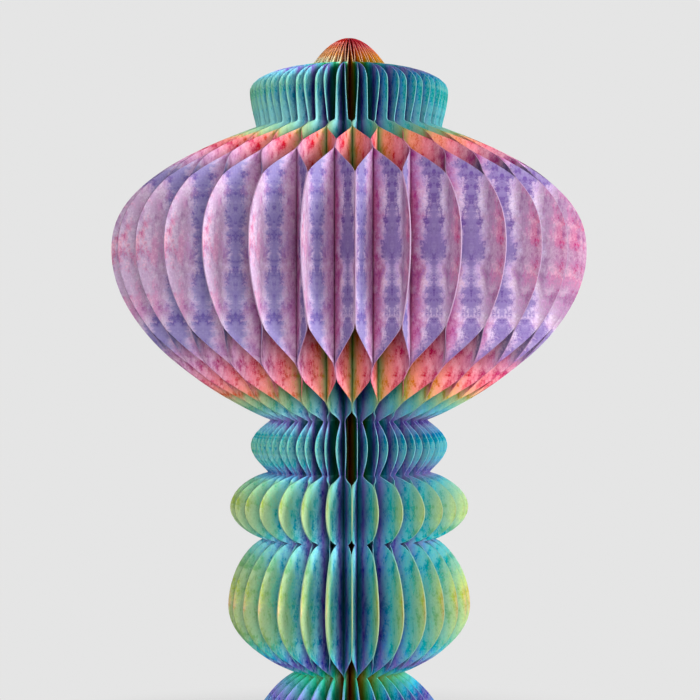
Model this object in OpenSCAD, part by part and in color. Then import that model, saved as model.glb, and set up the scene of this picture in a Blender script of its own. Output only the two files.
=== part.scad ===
// Honeycomb paper finial, opened all the way round, standing on the lower edges of its sheets.
// Millimetres, +Z up, origin on the axis at the surface that the finial stands on, front at -Y.
// Every sheet is cut to one outline and is glued to its two neighbours along upright glue lines,
// on one side and on the other in turn, so that the opened stack spreads into cells.

/* [Sheets] */
// Number of pairs of sheets around the axis
pairs = 30; // [20:1:30]
// Thickness of a sheet
sheet_t = 0.3; // [0.2:0.05:0.4]
// Room left between the sheets where they crowd together at the axis
spine_clearance = 0.3; // [0.1:0.1:1]

/* [Glue lines] */
// Distance from the axis to the first glue line, and from each line to the next
glue_pitch = 29.5; // [28:0.5:31]
// Width of a glue line
glue_w = 7.2; // [5:0.2:9]
// Width of the glued strip along the spine
spine_w = 3; // [1:0.5:6]

/* [Foot] */
// Height of the foot
foot_h = 44.4; // [30:0.2:60]
// Radius of the foot at the surface that it stands on
foot_r = 56; // [45:0.5:60]
// Fullness of the foot, 1 for a round outline and 2 or more for a flatter one
foot_full = 1.5; // [1:0.1:3]
// Radius of the neck between foot and vase
foot_neck_r = 28.2; // [20:0.2:33]

/* [Vase] */
// Height of the vase from its lower neck to its widest place
vase_low_h = 36.9; // [25:0.2:60]
// Height of the vase from its widest place to its upper neck
vase_top_h = 36.3; // [25:0.2:60]
// Radius of the vase at its widest
vase_r = 66.5; // [60:0.5:80]
// Fullness of the vase below its widest place
vase_low_full = 1.7; // [1:0.1:3]
// Fullness of the vase above its widest place
vase_top_full = 1.4; // [1:0.1:3]
// Radius of the neck between vase and cushion
vase_neck_r = 46.3; // [35:0.2:58]

/* [Cushion] */
// Height of the cushion from its lower neck to its widest place
cushion_low_h = 17.8; // [12:0.2:30]
// Height of the cushion from its widest place to its upper neck
cushion_top_h = 18.5; // [12:0.2:30]
// Radius of the cushion at its widest
cushion_r = 65.5; // [60:0.5:80]
// Fullness of the cushion below its widest place
cushion_low_full = 1.6; // [1:0.1:3]
// Fullness of the cushion above its widest place
cushion_top_full = 1.5; // [1:0.1:3]
// Radius of the neck between cushion and collar
cushion_neck_r = 44.2; // [35:0.2:50]

/* [Collar] */
// Height of the collar from its lower neck to its widest place
collar_low_h = 15; // [10:0.2:20]
// Height of the collar from its widest place to its upper neck
collar_top_h = 13.9; // [10:0.2:20]
// Radius of the collar at its widest
collar_r = 54; // [51:0.5:60]
// Fullness of the collar below its widest place
collar_low_full = 2.5; // [1:0.1:3]
// Fullness of the collar above its widest place
collar_top_full = 2.2; // [1:0.1:3]
// Radius of the neck between collar and globe
collar_neck_r = 42.8; // [35:0.2:50]

/* [Globe] */
// Height of the globe from its lower neck to its widest place
globe_low_h = 92.1; // [60:0.1:120]
// Height of the globe from its widest place to its upper neck
globe_top_h = 67.8; // [50:0.1:100]
// Radius of the globe at its widest
globe_r = 130; // [125:0.5:145]
// Fullness of the globe below its widest place
globe_low_full = 1.8; // [1:0.1:3]
// Fullness of the globe above its widest place
globe_top_full = 2; // [1:0.1:3]
// Roundness of the globe's shoulder, 1 for a round one and less for a sloping one
globe_shoulder = 0.85; // [0.6:0.05:1]
// Radius of the neck between globe and crown
globe_neck_r = 51; // [35:0.2:53]

/* [Crown and tip] */
// Height of the crown from its lower neck to its widest place
crown_low_h = 20.5; // [12:0.2:26]
// Height of the crown from its widest place to the tip
crown_top_h = 13.2; // [12:0.2:26]
// Radius of the crown at its widest
crown_r = 54.5; // [54:0.5:60]
// Fullness of the crown below its widest place
crown_low_full = 3; // [1:0.1:4]
// Fullness of the crown above its widest place
crown_top_full = 1.2; // [1:0.1:3]
// Height of the tip
tip_h = 16.2; // [8:0.2:24]
// Radius of the tip where it meets the crown
tip_r = 21; // [12:0.2:30]

/* [Hidden] */
leaf_count = 2 * pairs;
function two_digits(n) = str(n < 10 ? "0" : "", n);

paper_colour = [0.74, 0.47, 0.68];

// Angle from the plane where the two sheets of a pair meet to the plane where they meet
// the sheets of the next pairs
half_step = 180 / pairs;
// Direction in which the first pair points
front_angle = -90;
// Distance from the axis to the inner edges of the sheets, where they crowd together
spine_r = sheet_t / tan(half_step) + spine_clearance;

// Heights of the necks above the surface
foot_neck_z = foot_h;
vase_neck_z = foot_neck_z + vase_low_h + vase_top_h;
cushion_neck_z = vase_neck_z + cushion_low_h + cushion_top_h;
collar_neck_z = cushion_neck_z + collar_low_h + collar_top_h;
globe_neck_z = collar_neck_z + globe_low_h + globe_top_h;
tip_z = globe_neck_z + crown_low_h + crown_top_h;
top_z = tip_z + tip_h;

// Number of straight pieces in the outline for each curve
short_curve = 3;
middle_curve = 4;
long_curve = 7;

// Half a bulge of the outline, from the neck at z0 to the widest place at z1
function bow(z0, r0, z1, r1, full, pieces, shoulder = 1) =
    [for (k = [0 : pieces])
        let (a = 90 * k / pieces)
        [r0 + (r1 - r0) * pow(sin(a), full), z0 + (z1 - z0) * (1 - pow(cos(a), shoulder))]];
function backwards(points) = [for (k = [len(points) - 1 : -1 : 0]) points[k]];
// All the points but the last, where the next curve begins
function open_end(points) = [for (k = [0 : len(points) - 2]) points[k]];

vase_z = foot_neck_z + vase_low_h;
cushion_z = vase_neck_z + cushion_low_h;
collar_z = cushion_neck_z + collar_low_h;
globe_z = collar_neck_z + globe_low_h;
crown_z = globe_neck_z + crown_low_h;

// The tip is a parabola that ends at the sheets' inner edges
tip_curve = [for (k = [0 : middle_curve])
    let (r = spine_r + (tip_r - spine_r) * (1 - k / middle_curve))
    [r, tip_z + tip_h * (1 - pow(r / tip_r, 2))]];

// The cut outline of a sheet, from the surface up the outside to the tip and down the spine
outline = concat(
    [[spine_r, 0]],
    open_end(backwards(bow(foot_neck_z, foot_neck_r, 0, foot_r, foot_full, middle_curve))),
    open_end(bow(foot_neck_z, foot_neck_r, vase_z, vase_r, vase_low_full, middle_curve)),
    open_end(backwards(bow(vase_neck_z, vase_neck_r, vase_z, vase_r, vase_top_full, middle_curve))),
    open_end(bow(vase_neck_z, vase_neck_r, cushion_z, cushion_r, cushion_low_full, middle_curve)),
    open_end(backwards(bow(cushion_neck_z, cushion_neck_r, cushion_z, cushion_r, cushion_top_full,
        middle_curve))),
    open_end(bow(cushion_neck_z, cushion_neck_r, collar_z, collar_r, collar_low_full, short_curve)),
    open_end(backwards(bow(collar_neck_z, collar_neck_r, collar_z, collar_r, collar_top_full,
        short_curve))),
    open_end(bow(collar_neck_z, collar_neck_r, globe_z, globe_r, globe_low_full, long_curve)),
    open_end(backwards(bow(globe_neck_z, globe_neck_r, globe_z, globe_r, globe_top_full,
        long_curve, globe_shoulder))),
    open_end(bow(globe_neck_z, globe_neck_r, crown_z, crown_r, crown_low_full, short_curve)),
    open_end(backwards(bow(tip_z, tip_r, crown_z, crown_r, crown_top_full, middle_curve))),
    tip_curve
);

// Seen from above, a sheet lies on one side of the pair's own plane (angle 0) at its even glue
// lines and against the next pair's plane (angle half_step) at its odd ones. Each corner of its
// path is a pair of points, one on each face of the sheet.
function along(angle, r) = r * [cos(angle), sin(angle)];
function corner(line, r) =
    line % 2 == 0
        ? [[r, 0], [r, sheet_t]]
        : [along(half_step, r) + along(half_step - 90, sheet_t), along(half_step, r)];
function glue_in(line) = line == 0 ? spine_r : line * glue_pitch - glue_w / 2;
function glue_out(line) = line == 0 ? spine_r + spine_w : line * glue_pitch + glue_w / 2;

// Share of a glue line's width that paper has to cover to be held by it
held_share = 0.25;

// Number of the last glue line that holds paper of radius r, and of the last one that the
// paper reaches right across
function held_line(r) = floor((r + (0.5 - held_share) * glue_w) / glue_pitch);
function crossed_line(r) = floor((r - glue_w / 2) / glue_pitch);

// Corners at the glue lines, up to the inner edge of the last one
function glued_corners(last) = concat(
    [for (line = [0 : last - 1]) for (r = [glue_in(line), glue_out(line)]) corner(line, r)],
    [corner(last, glue_in(last))]
);

// The paths run this far past the cut outline, which trims them
trim_margin = 5;

// From the last glue line on, the two sheets lie together out to their cut edges
function closed_path(r) =
    let (last = held_line(r))
    concat(glued_corners(last), [corner(last, r + trim_margin)]);

// Past the last glue line the sheets fan out, so that all the cut edges are evenly spaced at radius r
function fanned_path(r) =
    let (last = crossed_line(r),
         start = corner(last, glue_out(last)),
         free = r - glue_out(last),
         spread = atan(r * sin(half_step) / 2 / free),
         turn = last % 2 == 0 ? spread : half_step - spread,
         reach = along(turn, free + trim_margin))
    concat(glued_corners(last), [start], [start + [reach, reach]]);

// A path as a closed outline, out along one face and back along the other
function path_outline(path) = concat(
    [for (k = [0 : len(path) - 1]) path[k][0]],
    [for (k = [len(path) - 1 : -1 : 0]) path[k][1]]
);

module sheet_band(z0, z1, path) {
    translate([0, 0, z0])
        linear_extrude(height = z1 - z0)
            polygon(path_outline(path));
}

// The folded sheet before it is cut: each stretch of height has the path that its glue lines give
module folded_sheet() {
    sheet_band(0, foot_neck_z, closed_path(foot_r));
    sheet_band(foot_neck_z, cushion_neck_z, closed_path(max(vase_r, cushion_r)));
    sheet_band(cushion_neck_z, collar_neck_z, fanned_path(collar_r));
    sheet_band(collar_neck_z, globe_neck_z, closed_path(globe_r));
    sheet_band(globe_neck_z, top_z, fanned_path(crown_r));
}

// The cut outline, wide enough to pass through all of the sheet's folds
module cut_outline() {
    rotate([90, 0, half_step / 2])
        linear_extrude(height = 2 * globe_r * sin(half_step), center = true)
            polygon(outline);
}

module sheet() {
    intersection() {
        folded_sheet();
        cut_outline();
    }
}

// Sheets 1 and 2 are the front pair, and the numbers run counter-clockwise seen from above
module leaf(n) {
    pair = floor((n - 1) / 2);
    left_hand = (n - 1) % 2 == 0;
    color(paper_colour)
        rotate([0, 0, front_angle + pair * 2 * half_step])
            mirror([0, left_hand ? 1 : 0, 0])
                sheet();
}

for (n = [1 : leaf_count])
    leaf(n);
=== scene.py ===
# Honeycomb paper finial: sixty printed sheets, glued in pairs and opened all the way round
import math

import bpy
import numpy as np
from mathutils import Matrix, Vector


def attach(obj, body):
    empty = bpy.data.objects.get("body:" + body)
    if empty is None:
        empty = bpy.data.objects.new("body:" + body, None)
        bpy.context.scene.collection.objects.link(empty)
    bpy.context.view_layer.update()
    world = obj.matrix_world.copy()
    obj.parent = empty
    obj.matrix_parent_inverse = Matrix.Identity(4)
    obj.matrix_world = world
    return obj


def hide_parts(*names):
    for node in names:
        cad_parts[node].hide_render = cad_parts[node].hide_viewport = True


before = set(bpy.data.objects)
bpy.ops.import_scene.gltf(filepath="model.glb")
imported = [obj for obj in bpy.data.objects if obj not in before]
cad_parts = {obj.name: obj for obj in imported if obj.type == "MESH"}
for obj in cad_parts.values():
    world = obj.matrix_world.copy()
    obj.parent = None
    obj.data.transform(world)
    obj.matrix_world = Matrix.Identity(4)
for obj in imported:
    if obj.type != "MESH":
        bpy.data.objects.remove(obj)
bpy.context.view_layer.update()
print("Frame loaded with", len(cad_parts), "sheets")


camera = {
    "distance": 1.21,   # from the axis
    "height": 0.2156,   # level with the horizon in the picture
    "turn": 1.5,        # degrees round to the object's right
    "focalLength": 113.14,
    "sensorWidth": 36,
    "shiftAcross": 0.0014,
    "shiftUp": 0.0143,
}


def addCamera():
    turn = math.radians(camera["turn"])
    lens = bpy.data.cameras.new("camera")
    lens.lens = camera["focalLength"]
    lens.sensor_width = camera["sensorWidth"]
    lens.shift_x = camera["shiftAcross"]
    lens.shift_y = camera["shiftUp"]
    lens.clip_start, lens.clip_end = 0.05, 50
    eye = bpy.data.objects.new("camera", lens)
    bpy.context.scene.collection.objects.link(eye)
    eye.location = (-camera["distance"] * math.sin(turn), -camera["distance"] * math.cos(turn),
                    camera["height"])
    eye.rotation_euler = (math.radians(90), 0, -turn)
    bpy.context.scene.camera = eye


addCamera()


def paint(red, green, blue):
    # A colour as a paint program gives it, 0 to 255, made linear
    def linear(c):
        c /= 255
        return c / 12.92 if c <= 0.04045 else ((c + 0.055) / 1.055) ** 2.4
    return (linear(red), linear(green), linear(blue), 1)


def addNode(tree, kind, place, **settings):
    node = tree.nodes.new(kind)
    node.location = place
    for name, value in settings.items():
        setattr(node, name, value)
    return node


def feed(tree, node, socket, value):
    # A number or colour is set, and another node's output is linked
    target = node.inputs[socket]
    if isinstance(value, bpy.types.NodeSocket):
        tree.links.new(value, target)
    else:
        target.default_value = value


def mathNode(tree, operation, place, *values, clamp=False):
    node = addNode(tree, "ShaderNodeMath", place, operation=operation, use_clamp=clamp)
    for number, value in enumerate(values):
        feed(tree, node, number, value)
    return node.outputs[0]


def rangeNode(tree, place, value, low, high, toLow=0.0, toHigh=1.0, smooth=False):
    node = addNode(tree, "ShaderNodeMapRange", place,
                   interpolation_type="SMOOTHSTEP" if smooth else "LINEAR")
    for socket, number in zip(("Value", "From Min", "From Max", "To Min", "To Max"),
                              (value, low, high, toLow, toHigh)):
        feed(tree, node, socket, number)
    return node.outputs[0]


def mixColour(tree, place, share, first, second, blend="MIX"):
    node = addNode(tree, "ShaderNodeMix", place, data_type="RGBA", blend_type=blend)
    feed(tree, node, 0, share)
    feed(tree, node, 6, first)
    feed(tree, node, 7, second)
    return node.outputs[2]


def noiseNode(tree, place, where, scale, detail=4.0, roughness=0.6, offset=(0, 0, 0),
              stretch=(1, 1, 1)):
    mapping = addNode(tree, "ShaderNodeMapping", (place[0] - 200, place[1]))
    feed(tree, mapping, "Vector", where)
    mapping.inputs["Location"].default_value = offset
    mapping.inputs["Scale"].default_value = stretch
    noise = addNode(tree, "ShaderNodeTexNoise", place)
    feed(tree, noise, "Vector", mapping.outputs[0])
    noise.inputs["Scale"].default_value = scale
    noise.inputs["Detail"].default_value = detail
    noise.inputs["Roughness"].default_value = roughness
    return noise.outputs[0]


studio = {
    "backdrop": 0.783,       # the photo's pale grey, linear
    "floorSize": 12,
    "floorTone": 0.9,
    "floorFadeFrom": 0.10,
    "floorFadeTo": 0.26,
    "skyTone": (1.0, 1.0, 1.0),
    "skyLevel": 0.12,
    "aimHeight": 0.2,        # on the axis, where the lamps point
    # name: place, size, power in watts, colour
    "lamps": {
        "frontLamp": ((0.0, -2.3, 0.3), 1.2, 42, (1.0, 1.0, 1.0)),
        "rightLamp": ((1.6, -1.5, 0.8), 1.2, 57, (1.0, 1.0, 1.0)),
        "leftLamp": ((-2.2, -0.2, 0.6), 1.2, 11, (1.0, 1.0, 1.0)),
        "backLamp": ((-0.6, 2.3, 0.8), 1.4, 28, (1.0, 1.0, 1.0)),
    },
}


def seenPlainly(tree, place):
    # 1 for what the camera sees, directly or by reflection or through glass
    path = addNode(tree, "ShaderNodeLightPath", place)
    x, y = place
    some = mathNode(tree, "ADD", (x + 200, y), path.outputs["Is Camera Ray"],
                    path.outputs["Is Glossy Ray"])
    return mathNode(tree, "ADD", (x + 400, y), some, path.outputs["Is Transmission Ray"],
                    clamp=True)


def addStudio():
    world = bpy.data.worlds.new("studio")
    world.use_nodes = True
    tree = world.node_tree
    tree.nodes.clear()
    sky = addNode(tree, "ShaderNodeBackground", (0, 0))
    sky.inputs["Color"].default_value = (*studio["skyTone"], 1)
    sky.inputs["Strength"].default_value = studio["skyLevel"]
    plain = addNode(tree, "ShaderNodeBackground", (0, -150))
    plain.inputs["Color"].default_value = (studio["backdrop"],) * 3 + (1,)
    mix = addNode(tree, "ShaderNodeMixShader", (250, 0))
    feed(tree, mix, 0, seenPlainly(tree, (-600, 200)))
    feed(tree, mix, 1, sky.outputs[0])
    feed(tree, mix, 2, plain.outputs[0])
    out = addNode(tree, "ShaderNodeOutputWorld", (450, 0))
    feed(tree, out, "Surface", mix.outputs[0])
    bpy.context.scene.world = world

    bpy.ops.object.select_all(action="DESELECT")
    bpy.ops.mesh.primitive_plane_add(size=studio["floorSize"], location=(0, 0, 0))
    floor = bpy.context.object
    floor.name = "floor"
    material = bpy.data.materials.new("floorPaper")
    material.use_nodes = True
    tree = material.node_tree
    tree.nodes.clear()
    matt = addNode(tree, "ShaderNodeBsdfDiffuse", (0, 0))
    matt.inputs["Color"].default_value = (studio["floorTone"],) * 3 + (1,)
    glow = addNode(tree, "ShaderNodeEmission", (0, -150))
    glow.inputs["Color"].default_value = (studio["backdrop"],) * 3 + (1,)
    where = addNode(tree, "ShaderNodeTexCoord", (-800, -200))
    away = addNode(tree, "ShaderNodeVectorMath", (-600, -200), operation="LENGTH")
    feed(tree, away, 0, where.outputs["Object"])
    far = rangeNode(tree, (-400, -200), away.outputs["Value"], studio["floorFadeFrom"],
                    studio["floorFadeTo"], smooth=True)
    share = mathNode(tree, "MULTIPLY", (-100, 200), far, seenPlainly(tree, (-800, 200)))
    mix = addNode(tree, "ShaderNodeMixShader", (250, 0))
    feed(tree, mix, 0, share)
    feed(tree, mix, 1, matt.outputs[0])
    feed(tree, mix, 2, glow.outputs[0])
    out = addNode(tree, "ShaderNodeOutputMaterial", (450, 0))
    feed(tree, out, "Surface", mix.outputs[0])
    floor.data.materials.append(material)

    for name, (place, size, power, colour) in studio["lamps"].items():
        lamp = bpy.data.lights.new(name, "AREA")
        lamp.shape = "DISK"
        lamp.size = size
        lamp.energy = power
        lamp.color = colour
        holder = bpy.data.objects.new(name, lamp)
        bpy.context.scene.collection.objects.link(holder)
        holder.location = place
        aim = Vector((0, 0, studio["aimHeight"])) - Vector(place)
        holder.rotation_mode = "QUATERNION"
        holder.rotation_quaternion = aim.to_track_quat("-Z", "Y")


addStudio()
bpy.context.scene.view_settings.view_transform = "Standard"
print("Floor, backdrop and lamps are in place")


# The cut outline, in metres. Each bulge gives its height below and above its widest place,
# its radius, its fullness below and above, and the radius of the neck over it
profile = {
    "footHeight": 0.0444,
    "footRadius": 0.0560,
    "footFull": 1.5,
    "footNeck": 0.0282,
    "bulges": {
        "vase": (0.0369, 0.0363, 0.0665, 1.7, 1.4, 0.0463),
        "cushion": (0.0178, 0.0185, 0.0655, 1.6, 1.5, 0.0442),
        "collar": (0.0150, 0.0139, 0.0540, 2.5, 2.2, 0.0428),
        "globe": (0.0921, 0.0678, 0.1300, 1.8, 2.0, 0.0510),
        "crown": (0.0205, 0.0132, 0.0545, 3.0, 1.2, 0.0210),
    },
    "globeShoulder": 0.85,   # 1 for a round shoulder, less for a sloping one
    "tipHeight": 0.0162,
    "rounding": 0.0005,      # how softly the scissors turn at the necks
}
sheets = {
    "pairs": 30,
    "thickness": 0.0003,
    "spineGap": 0.0003,
    "spineStrip": 0.003,
    "gluePitch": 0.0295,
    "glueWidth": 0.0072,
    "frontAngle": -90,
    "softness": 0.12,      # 0 for straight panels, 1 for fully rounded ones
    "foldLength": 0.0034,  # how far the bend beside a glue line runs
    "foldColumns": 3,
    "panelColumns": 2,
    "rimColumns": (0.1242, 0.1268, 0.1315),
    "rowStep": 0.0041,
    "neckRow": 0.0013,     # an extra row this far from each turn of a long stretch
    "longStretch": 0.008,
    "edgeSnap": 0.0005,    # points this near the cut edge move on to it
    "mergeWithin": 0.00001,
    "footFade": 0.001,     # how far from its neck the foot's folds change
    "freeEase": 0.12,      # how softly a freely running sheet leaves its glue line
    "freeReach": 1.2,
    "mapSize": 0.4,        # metres across the print's map
    "smoothAngle": 40,
}
halfStep = math.pi / sheets["pairs"]
spineRadius = sheets["thickness"] / math.tan(halfStep) + sheets["spineGap"]


def bow(neckHeight, neckRadius, height, radius, full, shoulder=1.0, steps=64):
    # Half a bulge, from a neck to the widest place
    turn = np.linspace(0, math.pi / 2, steps + 1)
    rise = 1 - np.maximum(np.cos(turn), 0) ** shoulder
    return np.column_stack((neckRadius + (radius - neckRadius) * np.sin(turn) ** full,
                            neckHeight + (height - neckHeight) * rise))


def cutOutline():
    # The whole outline from the floor to the tip, and the height of each neck
    neck, neckRadius = profile["footHeight"], profile["footNeck"]
    parts = [bow(neck, neckRadius, 0, profile["footRadius"], profile["footFull"])[::-1]]
    necks = {"foot": neck}
    for name, bulge in profile["bulges"].items():
        below, above, radius, fullBelow, fullAbove, nextRadius = bulge
        widest = neck + below
        parts.append(bow(neck, neckRadius, widest, radius, fullBelow)[1:])
        neck, neckRadius = widest + above, nextRadius
        shoulder = profile["globeShoulder"] if name == "globe" else 1.0
        parts.append(bow(neck, neckRadius, widest, radius, fullAbove, shoulder)[::-1][1:])
        necks[name] = neck
    radius = np.linspace(neckRadius, spineRadius, 33)[1:]
    rise = profile["tipHeight"] * (1 - (radius / neckRadius) ** 2)
    parts.append(np.column_stack((radius, neck + rise)))
    return np.concatenate(parts), necks


def alongLine(points):
    return np.concatenate(([0], np.cumsum(np.hypot(*np.diff(points, axis=0).T))))


def softened(points, step=0.0002):
    # The outline at even steps, with its corners rounded
    along = alongLine(points)
    even = np.linspace(0, along[-1], int(along[-1] / step))
    line = np.column_stack([np.interp(even, along, points[:, i]) for i in (0, 1)])
    reach = int(3 * profile["rounding"] / step)
    weight = np.exp(-0.5 * (np.arange(-reach, reach + 1) * step / profile["rounding"]) ** 2)
    weight /= weight.sum()
    padded = np.pad(line, ((reach, reach), (0, 0)), mode="reflect", reflect_type="odd")
    return np.column_stack([np.convolve(padded[:, i], weight, mode="valid") for i in (0, 1)])


def rowPoints(line):
    # Rows at even steps along the outline, with one at each neck and each widest place
    along = alongLine(line)
    rise = np.sign(np.diff(line[:, 0]))
    changes = [i + 1 for i in range(len(rise) - 1) if rise[i] * rise[i + 1] < 0]
    turns = [0, *changes, len(line) - 1]
    rows = []
    for start, end in zip(turns[:-1], turns[1:]):
        length = along[end] - along[start]
        count = max(2, math.ceil(length / sheets["rowStep"]))
        places = list(np.linspace(along[start], along[end], count + 1)[:-1])
        if length > sheets["longStretch"]:
            places += [along[start] + sheets["neckRow"], along[end] - sheets["neckRow"]]
        rows += sorted(places)
    rows.append(along[-1])
    return np.column_stack([np.interp(rows, along, line[:, i]) for i in (0, 1)])


outlinePoints, neckHeights = cutOutline()
outlineLine = softened(outlinePoints)
rows = rowPoints(outlineLine)
print("Outline has", len(rows), "rows and", len(neckHeights), "necks")


def glueEdges(line):
    if line == 0:
        return spineRadius, spineRadius + sheets["spineStrip"]
    middle = line * sheets["gluePitch"]
    return middle - sheets["glueWidth"] / 2, middle + sheets["glueWidth"] / 2


def columnRadii():
    radii = [*glueEdges(0)]
    for line in range(1, 5):
        start, (inner, outer) = radii[-1], glueEdges(line)
        fold = sheets["foldLength"]
        radii += [*np.linspace(start, start + fold, sheets["foldColumns"] + 1)[1:],
                  *np.linspace(start + fold, inner - fold, sheets["panelColumns"] + 1)[1:],
                  *np.linspace(inner - fold, inner, sheets["foldColumns"] + 1)[1:], outer]
    return [*radii, *sheets["rimColumns"]]


def smooth(x):
    x = np.clip(x, 0, 1)
    return x * x * (3 - 2 * x)


def between(x, low, high):
    return smooth((x - low) / (high - low))


def bent(x, fold):
    # A straight rise from 0 to 1 that is eased in and out over the length of a fold
    x = np.where(x < fold, x * x / (2 * fold),
                 np.where(x > 1 - fold, 1 - fold - (1 - x) ** 2 / (2 * fold), x - fold / 2))
    return x / (1 - fold)


def zigzag(r):
    # 0 on the pair's own plane, 1 on the next pair's plane, by the glue lines
    share = np.zeros_like(r)
    for line in range(4):
        start, end = glueEdges(line)[1], glueEdges(line + 1)[0]
        x = bent(np.clip((r - start) / (end - start), 0, 1), sheets["foldLength"] / (end - start))
        x = x + sheets["softness"] * (smooth(x) - x)
        share += x if line % 2 == 0 else -x
    return share


def fanned(r, radius, share):
    # Past the first glue line the sheet runs freely, and reaches share at the given radius
    start = glueEdges(1)[1]
    ease = sheets["freeEase"]
    x = np.clip((r - start) / (radius - start), 0, sheets["freeReach"])
    x = np.where(x < ease, x * x / (2 * ease), x - ease / 2) / (1 - ease / 2)
    across = x * (1 - share) * radius
    return 1 - across / np.maximum(r, 1e-4)


# Where the sheets run freely: how far across the gap they stand at the widest place, and
# the heights between which the glued folds give way, before and after it. Below the crown the
# second glue line still holds
free = {
    "collar": {"share": 0.53, "before": (0.1487, 0.1535), "after": (0.1833, 0.1893)},
    "crown": {"share": 0.60, "before": (0.3190, 0.3660), "heldFrom": 0.046, "heldFade": 0.002},
}


def foldShare(r, z):
    first = glueEdges(1)[1]
    share = zigzag(r)
    # Below the collar the second glue line is the last, and the sheets stay together past it
    share = np.where((r > glueEdges(2)[0]) & (z < neckHeights["cushion"]), 0, share)
    fade = sheets["footFade"]
    footOpen = smooth((neckHeights["foot"] + fade - z) / (2 * fade))
    share = np.where(r > first, share + (1 - share) * footOpen, share)
    for name, piece in free.items():
        radius = profile["bulges"][name][2]
        loose = between(z, *piece["before"])
        if "after" in piece:
            loose *= 1 - between(z, *piece["after"])
        else:
            neck = neckHeights["globe"]
            below = between(-z, -neck, piece["heldFade"] - neck)
            loose *= 1 - between(r, piece["heldFrom"], glueEdges(2)[0]) * below
        fan = fanned(r, radius, piece["share"])
        share = np.where(r > first, share + (fan - share) * loose, share)
    return np.clip(share, 0, 1)


def deselect():
    if bpy.context.object and bpy.context.object.mode != "OBJECT":
        bpy.ops.object.mode_set(mode="OBJECT")
    bpy.ops.object.select_all(action="DESELECT")


def flatSheet():
    # A grid trimmed to the outline: points past it are pulled in to it and merged
    radii = np.array(columnRadii())
    deselect()
    bpy.ops.mesh.primitive_grid_add(x_subdivisions=len(radii) - 1, y_subdivisions=len(rows) - 1,
                                    size=1)
    sheet = bpy.context.object
    mesh = sheet.data
    places = np.empty(len(mesh.vertices) * 3)
    mesh.vertices.foreach_get("co", places)
    places = places.reshape(-1, 3)
    column = np.rint((places[:, 0] + 0.5) * (len(radii) - 1)).astype(int)
    row = np.rint((places[:, 1] + 0.5) * (len(rows) - 1)).astype(int)
    edge = rows[row, 0]
    r = radii[column]
    r = np.where(r > edge - sheets["edgeSnap"], edge, r)
    places[:, 0], places[:, 1], places[:, 2] = r, 0, rows[row, 1]
    mesh.vertices.foreach_set("co", places.ravel())
    mesh.update()
    bpy.ops.object.mode_set(mode="EDIT")
    bpy.ops.mesh.select_all(action="SELECT")
    bpy.ops.mesh.remove_doubles(threshold=sheets["mergeWithin"])
    bpy.ops.mesh.dissolve_degenerate(threshold=sheets["mergeWithin"])
    bpy.ops.mesh.normals_make_consistent(inside=False)
    bpy.ops.object.mode_set(mode="OBJECT")
    return sheet


def foldedSheet():
    sheet = flatSheet()
    mesh = sheet.data
    places = np.empty(len(mesh.vertices) * 3)
    mesh.vertices.foreach_get("co", places)
    places = places.reshape(-1, 3)
    r, z = places[:, 0].copy(), places[:, 2].copy()
    # The print's map is the flat sheet: distance from the axis, and height
    while mesh.uv_layers:
        mesh.uv_layers.remove(mesh.uv_layers[0])
    printMap = mesh.uv_layers.new(name="flatSheet")
    corner = np.empty(len(mesh.loops), int)
    mesh.loops.foreach_get("vertex_index", corner)
    flat = np.column_stack((r[corner], z[corner])) / sheets["mapSize"]
    printMap.data.foreach_set("uv", flat.ravel())
    # Folding: each point keeps its distance from the axis
    lean = np.arcsin(sheets["thickness"] / 2 / r)
    angle = lean + foldShare(r, z) * (halfStep - 2 * lean)
    places[:, 0], places[:, 1] = r * np.cos(angle), r * np.sin(angle)
    mesh.vertices.foreach_set("co", places.ravel())
    mesh.update()
    thick = sheet.modifiers.new("thickness", "SOLIDIFY")
    thick.thickness = sheets["thickness"]
    thick.offset = 0
    thick.material_offset = 1
    thick.material_offset_rim = 2
    return sheet


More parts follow.
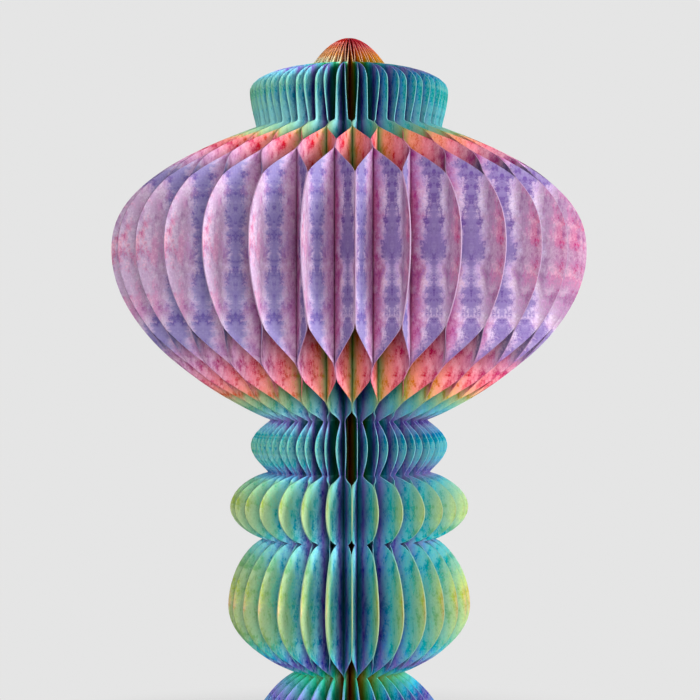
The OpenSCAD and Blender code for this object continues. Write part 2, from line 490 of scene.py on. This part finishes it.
# The two sides of the paper; front is the one that faces counter-clockwise seen from above.
# Rings, and spots of the second dye over them, go by the distance from the axis in millimetres
inks = {
    "front": {
        "rings": [(4, (210, 70, 80)), (10, (255, 170, 160)), (17, (255, 220, 180)),
                  (23, (170, 250, 215)), (28, (90, 230, 185)), (35, (120, 195, 210)),
                  (42, (160, 145, 220)), (47, (155, 230, 245)), (54, (140, 195, 165)),
                  (65, (180, 195, 145)), (69, (250, 165, 150)), (76, (230, 130, 135)),
                  (92, (215, 165, 205)), (105, (180, 145, 175)), (130, (200, 175, 205))],
        "spots": [(10, (225, 110, 90)), (17, (235, 165, 95)), (24, (140, 175, 80)),
                  (33, (50, 140, 130)), (43, (95, 95, 175)), (50, (85, 160, 210)),
                  (57, (110, 200, 170)), (65, (210, 215, 130)), (78, (215, 85, 100)),
                  (94, (170, 95, 150)), (105, (165, 150, 205)), (130, (230, 120, 145))],
        "blotch": (118, 112, 166),
        "blotchReach": 0.0050,
        "blotchBreaks": 2.2,
        "paintedShade": (1.7, 0.22),   # saturation and value of the painted shade in the folds and far inside the cells
        "shift": 0.0,              # moves the mottle, so that the sides differ
    },
    "back": {
        "rings": [(4, (195, 65, 75)), (10, (225, 110, 125)), (17, (210, 140, 65)),
                  (23, (140, 150, 80)), (28, (115, 195, 145)), (37, (95, 190, 220)),
                  (43, (130, 115, 170)), (52, (100, 175, 180)), (65, (170, 195, 140)),
                  (70, (230, 160, 125)), (78, (220, 130, 140)), (98, (195, 130, 170)),
                  (105, (225, 200, 210)), (117, (170, 140, 170)), (130, (185, 130, 165))],
        "spots": [(10, (190, 75, 70)), (17, (205, 130, 65)), (24, (120, 145, 55)),
                  (33, (45, 130, 120)), (43, (80, 80, 155)), (50, (80, 135, 200)),
                  (57, (80, 180, 170)), (65, (200, 210, 120)), (78, (210, 75, 90)),
                  (94, (150, 80, 135)), (105, (160, 140, 200)), (130, (220, 105, 135))],
        "blotch": (110, 94, 149),
        "blotchReach": 0.0062,
        "blotchBreaks": 4.4,
        "paintedShade": (1.7, 0.38),
        "shift": 0.37,
    },
}
printing = {
    "rim": 130,            # radius in millimetres at which the rings end
    "wander": 0.006,       # how far a ring's edge strays
    "mirrorRadius": 0.107,
    "spots": 0.62,
    "halo": 0.55,
    "haloColour": (196, 178, 214),
    "blotch": 0.82,
    "stainKeeps": 0.6,        # how much less the dye washes out in a blotch
    "washed": (0.72, 1.14),   # saturation and value where the dye is thin
    "washedFrom": (0.42, 0.80),   # where on the radius that begins and is full
    "soaked": (1.4, 0.72),    # where the dye lies thick
    "strong": (1.10, 1.0),    # on the stem and the crown
    "stemEnd": (0.44, 0.47),  # heights on the print's map
    "crownStart": (0.85, 0.88),
    "depthShade": (0.10, 0.52),     # how far in from the cut edge the painted cell shade begins and is full, as a share of the radius
    "fanShadeDepth": 1.0,          # and how much sooner that painted shade comes where the sheets run freely
    # Painted fold shadow beside each glue line: how far it reaches past the glue edge, and how far
    # inside the glue strip it starts, in metres
    "creaseShadeReach": 0.0030,
    "creaseShadeBefore": 0.001,
    "grain": (0.3, 0.7),      # the range of the paper's mottle that shows
    "mottle": (0.86, 1.12),
    "roughness": (0.66, 0.82),
    "sheen": 0.05,
    "bump": (0.15, 0.0002),
    "edge": (1.2, 0.62),
    "edgeInwards": 0.03,      # the cut edge shows the tone of the ring inside it
    "edgePale": 0.3,
    "edgeColour": (205, 190, 200),
    "edgeRoughness": 0.85,
}
# Noise of the print: scale, detail, roughness, offset and stretch
noises = {
    "broad": (60, 3, 0.55, (0.3, 0, 0), (1, 0.6, 1)),
    "small": (210, 7, 0.72, (0, 0.7, 0), (1, 0.7, 1)),
    "fine": (900, 5, 0.75, (0, 0, 0.4), (1, 0.7, 1)),
    "other": (170, 7, 0.72, (0.5, 0.1, 0.2), (1, 0.6, 1)),
    "third": (120, 7, 0.7, (0.9, 0.3, 0.1), (1, 0.5, 1)),
    "patch": (48, 2, 0.5, (0.11, 0.2, 0), (0.35, 1, 1)),
    "ragged": (330, 5, 0.7, (0.2, 0.6, 0.1), (0.5, 1, 1)),
}
# Masks of the dye: the noise, how much fine noise is added, and where the mask begins and is full
masks = {
    "Thin": ("small", 0.4, 0.68, 0.80),
    "Thick": ("other", 0.4, 0.68, 0.82),
    "Spots": ("third", 0.35, 0.65, 0.78),
}
stain = {
    "ragged": 2.2,
    "fine": 2.0,
    "Blotch": (0.75, 1.6),
    "Halo": (0.1, 1.2),
}


def tieDyeGroup():
    # Fields of the print on the flat sheet: Ring is the distance from the axis with strayed
    # edges; Spots is the second dye; Blotch is a stain about the mirror radius and Halo its pale
    # surround; Thin and Thick are masks of how the dye lies; Grain is the paper's mottle
    group = bpy.data.node_groups.new("tieDye", "ShaderNodeTree")
    face = group.interface
    face.new_socket("Place", in_out="INPUT", socket_type="NodeSocketVector")
    for name, default in (("Wander", 0.004), ("Mirror Radius", 0.107), ("Blotch Reach", 0.0075),
                          ("Blotch Breaks", 3.0), ("Shift", 0.0)):
        face.new_socket(name, in_out="INPUT", socket_type="NodeSocketFloat").default_value = default
    for name in ("Ring", "Spots", "Thin", "Thick", "Blotch", "Halo", "Grain"):
        face.new_socket(name, in_out="OUTPUT", socket_type="NodeSocketFloat")
    given = addNode(group, "NodeGroupInput", (-1600, 0))
    result = addNode(group, "NodeGroupOutput", (1200, 0))
    metres = addNode(group, "ShaderNodeVectorMath", (-1400, 0), operation="SCALE")
    feed(group, metres, 0, given.outputs["Place"])
    metres.inputs["Scale"].default_value = sheets["mapSize"]
    split = addNode(group, "ShaderNodeSeparateXYZ", (-1200, 0))
    feed(group, split, 0, metres.outputs[0])
    # Folding the place at the mirror radius prints both sides of it alike
    fromMirror = mathNode(group, "SUBTRACT", (-1000, 200), split.outputs[0],
                          given.outputs["Mirror Radius"])
    fromMirror = mathNode(group, "ABSOLUTE", (-850, 200), fromMirror)
    folded = addNode(group, "ShaderNodeCombineXYZ", (-650, 100))
    feed(group, folded, 0, fromMirror)
    feed(group, folded, 1, split.outputs[1])
    feed(group, folded, 2, given.outputs["Shift"])
    place = folded.outputs[0]
    field = {}
    for number, name in enumerate(noises):
        field[name] = noiseNode(group, (-300, 500 - 180 * number), place, *noises[name])
    fine = field["fine"]
    both = mathNode(group, "MULTIPLY_ADD", (0, 500), field["broad"], 1.2, field["small"])
    stray = mathNode(group, "SUBTRACT", (150, 500), both, 1.1)
    stray = mathNode(group, "MULTIPLY", (300, 500), stray, given.outputs["Wander"])
    ring = mathNode(group, "ADD", (600, 450), split.outputs[0], stray)
    ring = mathNode(group, "DIVIDE", (750, 450), ring, printing["rim"] / 1000, clamp=True)
    feed(group, result, "Ring", ring)
    for number, (name, (source, share, low, high)) in enumerate(masks.items()):
        y = 250 - 180 * number
        mottled = mathNode(group, "MULTIPLY_ADD", (0, y), fine, share, field[source])
        feed(group, result, name, rangeNode(group, (300, y), mottled, low, high, smooth=True))
    # The stain is a band about the mirror radius, broken along its length and ragged across it
    patch = mathNode(group, "SUBTRACT", (-100, -400), field["patch"], 0.5)
    patch = mathNode(group, "MULTIPLY", (0, -400), patch, given.outputs["Blotch Breaks"])
    patch = mathNode(group, "MULTIPLY_ADD", (100, -400), field["ragged"], stain["ragged"], patch)
    patch = mathNode(group, "MULTIPLY_ADD", (200, -400), fine, stain["fine"], patch)
    near = mathNode(group, "DIVIDE", (-300, -850), fromMirror, given.outputs["Blotch Reach"])
    patch = mathNode(group, "SUBTRACT", (300, -400), patch, near)
    for name, y in (("Blotch", -300), ("Halo", -550)):
        feed(group, result, name, rangeNode(group, (500, y), patch, *stain[name], smooth=True))
    feed(group, result, "Grain", fine)
    return group


def ringColour(tree, place, value, rings):
    # Clear bands of dye from the axis outwards
    ramp = addNode(tree, "ShaderNodeValToRGB", place)
    feed(tree, ramp, 0, value)
    stops = ramp.color_ramp.elements
    while len(stops) > 1:
        stops.remove(stops[-1])
    for number, (radius, colour) in enumerate(rings):
        stop = stops[0] if number == 0 else stops.new(radius / printing["rim"])
        stop.position = radius / printing["rim"]
        stop.color = paint(*colour)
    return ramp.outputs[0]


def dyed(tree, place, mask, colour, saturation, value):
    # The same hue, stronger or weaker where the mask says so
    node = addNode(tree, "ShaderNodeHueSaturation", place)
    feed(tree, node, "Saturation", saturation)
    feed(tree, node, "Value", value)
    feed(tree, node, "Fac", mask)
    feed(tree, node, "Color", colour)
    return node.outputs[0]


def printedPaper(name, ink, tieDye):
    material = bpy.data.materials.new(name)
    material.use_nodes = True
    tree = material.node_tree
    tree.nodes.clear()
    place = addNode(tree, "ShaderNodeUVMap", (-1400, 0), uv_map="flatSheet")
    dye = addNode(tree, "ShaderNodeGroup", (-1200, 0), node_tree=tieDye)
    feed(tree, dye, "Place", place.outputs[0])
    dye.inputs["Wander"].default_value = printing["wander"]
    dye.inputs["Mirror Radius"].default_value = printing["mirrorRadius"]
    dye.inputs["Blotch Reach"].default_value = ink["blotchReach"]
    dye.inputs["Blotch Breaks"].default_value = ink["blotchBreaks"]
    dye.inputs["Shift"].default_value = ink["shift"]
    colour = ringColour(tree, (-1000, 500), dye.outputs["Ring"], ink["rings"])
    second = ringColour(tree, (-1000, 250), dye.outputs["Ring"], ink["spots"])
    spots = mathNode(tree, "MULTIPLY", (-1000, 0), dye.outputs["Spots"], printing["spots"])
    colour = mixColour(tree, (-800, 300), spots, colour, second)
    halo = mathNode(tree, "MULTIPLY", (-900, 0), dye.outputs["Halo"], printing["halo"])
    colour = mixColour(tree, (-650, 300), halo, colour, paint(*printing["haloColour"]))
    blotch = mathNode(tree, "MULTIPLY", (-900, -200), dye.outputs["Blotch"], printing["blotch"])
    colour = mixColour(tree, (-500, 300), blotch, colour, paint(*ink["blotch"]))
    unstained = mathNode(tree, "MULTIPLY_ADD", (-700, -100), dye.outputs["Blotch"],
                         -printing["stainKeeps"], 1.0)
    thin = mathNode(tree, "MULTIPLY", (-550, -100), unstained, dye.outputs["Thin"])
    outside = rangeNode(tree, (-700, -300), dye.outputs["Ring"], *printing["washedFrom"])
    thin = mathNode(tree, "MULTIPLY", (-450, -100), thin, outside)
    colour = dyed(tree, (-350, 300), thin, colour, *printing["washed"])
    colour = dyed(tree, (-200, 300), dye.outputs["Thick"], colour, *printing["soaked"])
    # The stem and the crown took the dye more strongly than the globe did
    split = addNode(tree, "ShaderNodeSeparateXYZ", (-1200, 700))
    feed(tree, split, 0, place.outputs[0])
    stem = rangeNode(tree, (-1000, 800), split.outputs[1], *printing["stemEnd"], 1.0, 0.0)
    crown = rangeNode(tree, (-1000, 650), split.outputs[1], *printing["crownStart"])
    strong = mathNode(tree, "ADD", (-800, 700), stem, crown, clamp=True)
    colour = dyed(tree, (-150, 500), strong, colour, *printing["strong"])
    # Painted shade: darker, more saturated colour in the folds beside the glue lines and far inside
    # the cells, where shadow falls
    paintedShade = addNode(tree, "ShaderNodeAttribute", (-500, 600), attribute_name="paintedShade")
    colour = dyed(tree, (-100, 300), paintedShade.outputs["Fac"], colour, *ink["paintedShade"])
    mottle = rangeNode(tree, (-500, -200), dye.outputs["Grain"], *printing["grain"],
                       *printing["mottle"])
    colour = mixColour(tree, (0, 300), 1.0, colour, mottle, "MULTIPLY")
    shader = addNode(tree, "ShaderNodeBsdfPrincipled", (400, 200))
    feed(tree, shader, "Base Color", colour)
    rough = rangeNode(tree, (100, 0), dye.outputs["Grain"], *printing["grain"],
                      *printing["roughness"])
    feed(tree, shader, "Roughness", rough)
    shader.inputs["Specular IOR Level"].default_value = printing["sheen"]
    bump = addNode(tree, "ShaderNodeBump", (100, -200))
    for socket, value in zip(("Strength", "Distance"), printing["bump"]):
        bump.inputs[socket].default_value = value
    feed(tree, bump, "Height", dye.outputs["Grain"])
    feed(tree, shader, "Normal", bump.outputs[0])
    out = addNode(tree, "ShaderNodeOutputMaterial", (700, 200))
    feed(tree, out, "Surface", shader.outputs[0])
    return material


def edgePaper(rings, tieDye):
    # The cut edge: a paler line of the print's own colour
    material = bpy.data.materials.new("cutEdge")
    material.use_nodes = True
    tree = material.node_tree
    tree.nodes.clear()
    place = addNode(tree, "ShaderNodeUVMap", (-1200, 0), uv_map="flatSheet")
    dye = addNode(tree, "ShaderNodeGroup", (-1000, 0), node_tree=tieDye)
    feed(tree, dye, "Place", place.outputs[0])
    inwards = mathNode(tree, "SUBTRACT", (-850, 300), dye.outputs["Ring"], printing["edgeInwards"])
    colour = ringColour(tree, (-700, 300), inwards, rings)
    pale = rangeNode(tree, (-500, 0), dye.outputs["Grain"], *printing["grain"],
                     0.0, printing["edgePale"])
    colour = mixColour(tree, (-300, 300), pale, colour, paint(*printing["edgeColour"]))
    colour = dyed(tree, (-150, 300), 1.0, colour, *printing["edge"])
    shader = addNode(tree, "ShaderNodeBsdfPrincipled", (0, 200))
    feed(tree, shader, "Base Color", colour)
    shader.inputs["Roughness"].default_value = printing["edgeRoughness"]
    shader.inputs["Specular IOR Level"].default_value = printing["sheen"]
    out = addNode(tree, "ShaderNodeOutputMaterial", (300, 200))
    feed(tree, out, "Surface", shader.outputs[0])
    return material


tieDye = tieDyeGroup()
frontPaper = printedPaper("printedFront", inks["front"], tieDye)
backPaper = printedPaper("printedBack", inks["back"], tieDye)
cutEdge = edgePaper(inks["front"]["rings"], tieDye)
print("Paper is printed")


def finishedSheet(name, materials, mirrored):
    # One sheet at the pair's angle 0, as a closed shell
    sheet = foldedSheet()
    sheet.name = name
    for material in materials:
        sheet.data.materials.append(material)
    deselect()
    sheet.select_set(True)
    bpy.context.view_layer.objects.active = sheet
    bpy.ops.object.modifier_apply(modifier="thickness")
    if mirrored:
        sheet.data.transform(Matrix.Scale(-1, 4, (0, 1, 0)))
        bpy.ops.object.mode_set(mode="EDIT")
        bpy.ops.mesh.select_all(action="SELECT")
        bpy.ops.mesh.normals_make_consistent(inside=False)
        bpy.ops.object.mode_set(mode="OBJECT")
    bpy.ops.object.shade_smooth_by_angle(angle=math.radians(sheets["smoothAngle"]))
    return sheet


def paintFoldAndCellShade(mesh, mirrored):
    # Painted shade: the shadow in the bend outside each glue line, on the two faces that meet
    # there: an odd line joins the faces turned to the next pair, an even one those turned to the
    # partner
    places = np.empty(len(mesh.vertices) * 3)
    mesh.vertices.foreach_get("co", places)
    places = places.reshape(-1, 3)
    r, z = np.hypot(places[:, 0], places[:, 1]), places[:, 2]
    near = {}
    for line in (0, 1, 2, 3):
        past = r - glueEdges(line)[1]
        closeness = np.exp(-np.maximum(past, 0) / printing["creaseShadeReach"])
        near[line] = np.where(past > -printing["creaseShadeBefore"], closeness, 0)
    # On the foot, vase and cushion the second line is the last one
    near[2] = near[2] * (z > neckHeights["cushion"])
    # The painted shade also grows towards the axis, far inside the cells where little light reaches
    edge = np.interp(z, outlineLine[:, 1], outlineLine[:, 0])
    inCollar = (z > neckHeights["cushion"]) & (z < neckHeights["collar"])
    sooner = 1 + printing["fanShadeDepth"] * ((z > neckHeights["globe"]) | inCollar)
    depthShade = between((edge - r) / edge * sooner, *printing["depthShade"])
    shade = mesh.attributes.new("paintedShade", "FLOAT", "CORNER")
    values = np.zeros(len(mesh.loops))
    for face in mesh.polygons:
        x, y, _ = face.center
        outward = -y * face.normal.x + x * face.normal.y
        toNextPair = (outward < 0) if mirrored else (outward > 0)
        for loop in face.loop_indices:
            point = mesh.loops[loop].vertex_index
            creaseShade = max(near[line][point] for line in ((1, 3) if toNextPair else (0, 2)))
            values[loop] = 1 - (1 - creaseShade) * (1 - depthShade[point])
    shade.data.foreach_set("value", values)


def facesCounterClockwise(mesh):
    # True if the faces of the first material face counter-clockwise seen from above
    total = 0.0
    for face in mesh.polygons:
        if face.material_index == 0:
            x, y, _ = face.center
            across = math.hypot(x, y)
            total += face.area * (-y * face.normal.x + x * face.normal.y) / across
    return total > 0


def addSheets():
    masters = {}
    for mirrored in (False, True):
        master = finishedSheet("sheetMaster", (frontPaper, backPaper, cutEdge), mirrored)
        # Painted shade in the folds and far inside the cells, kept as a corner attribute
        paintFoldAndCellShade(master.data, mirrored)
        if not facesCounterClockwise(master.data):
            master.data.materials[0], master.data.materials[1] = backPaper, frontPaper
        masters[mirrored] = master
        print("Sheet has", len(master.data.polygons), "faces")
    for number in range(1, 2 * sheets["pairs"] + 1):
        master = masters[number % 2 == 1]
        pair = (number - 1) // 2
        mesh = master.data.copy()
        turn = math.radians(sheets["frontAngle"]) + pair * 2 * halfStep
        mesh.transform(Matrix.Rotation(turn, 4, "Z"))
        mesh.name = f"sheet{number:02d}"
        sheet = bpy.data.objects.new(f"sheet{number:02d}", mesh)
        bpy.context.scene.collection.objects.link(sheet)
        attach(sheet, "root")
        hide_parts(f"leaf_{number:02d}")
    for master in masters.values():
        bpy.data.objects.remove(master)


addSheets()
print("All", 2 * sheets["pairs"], "sheets are glued up")
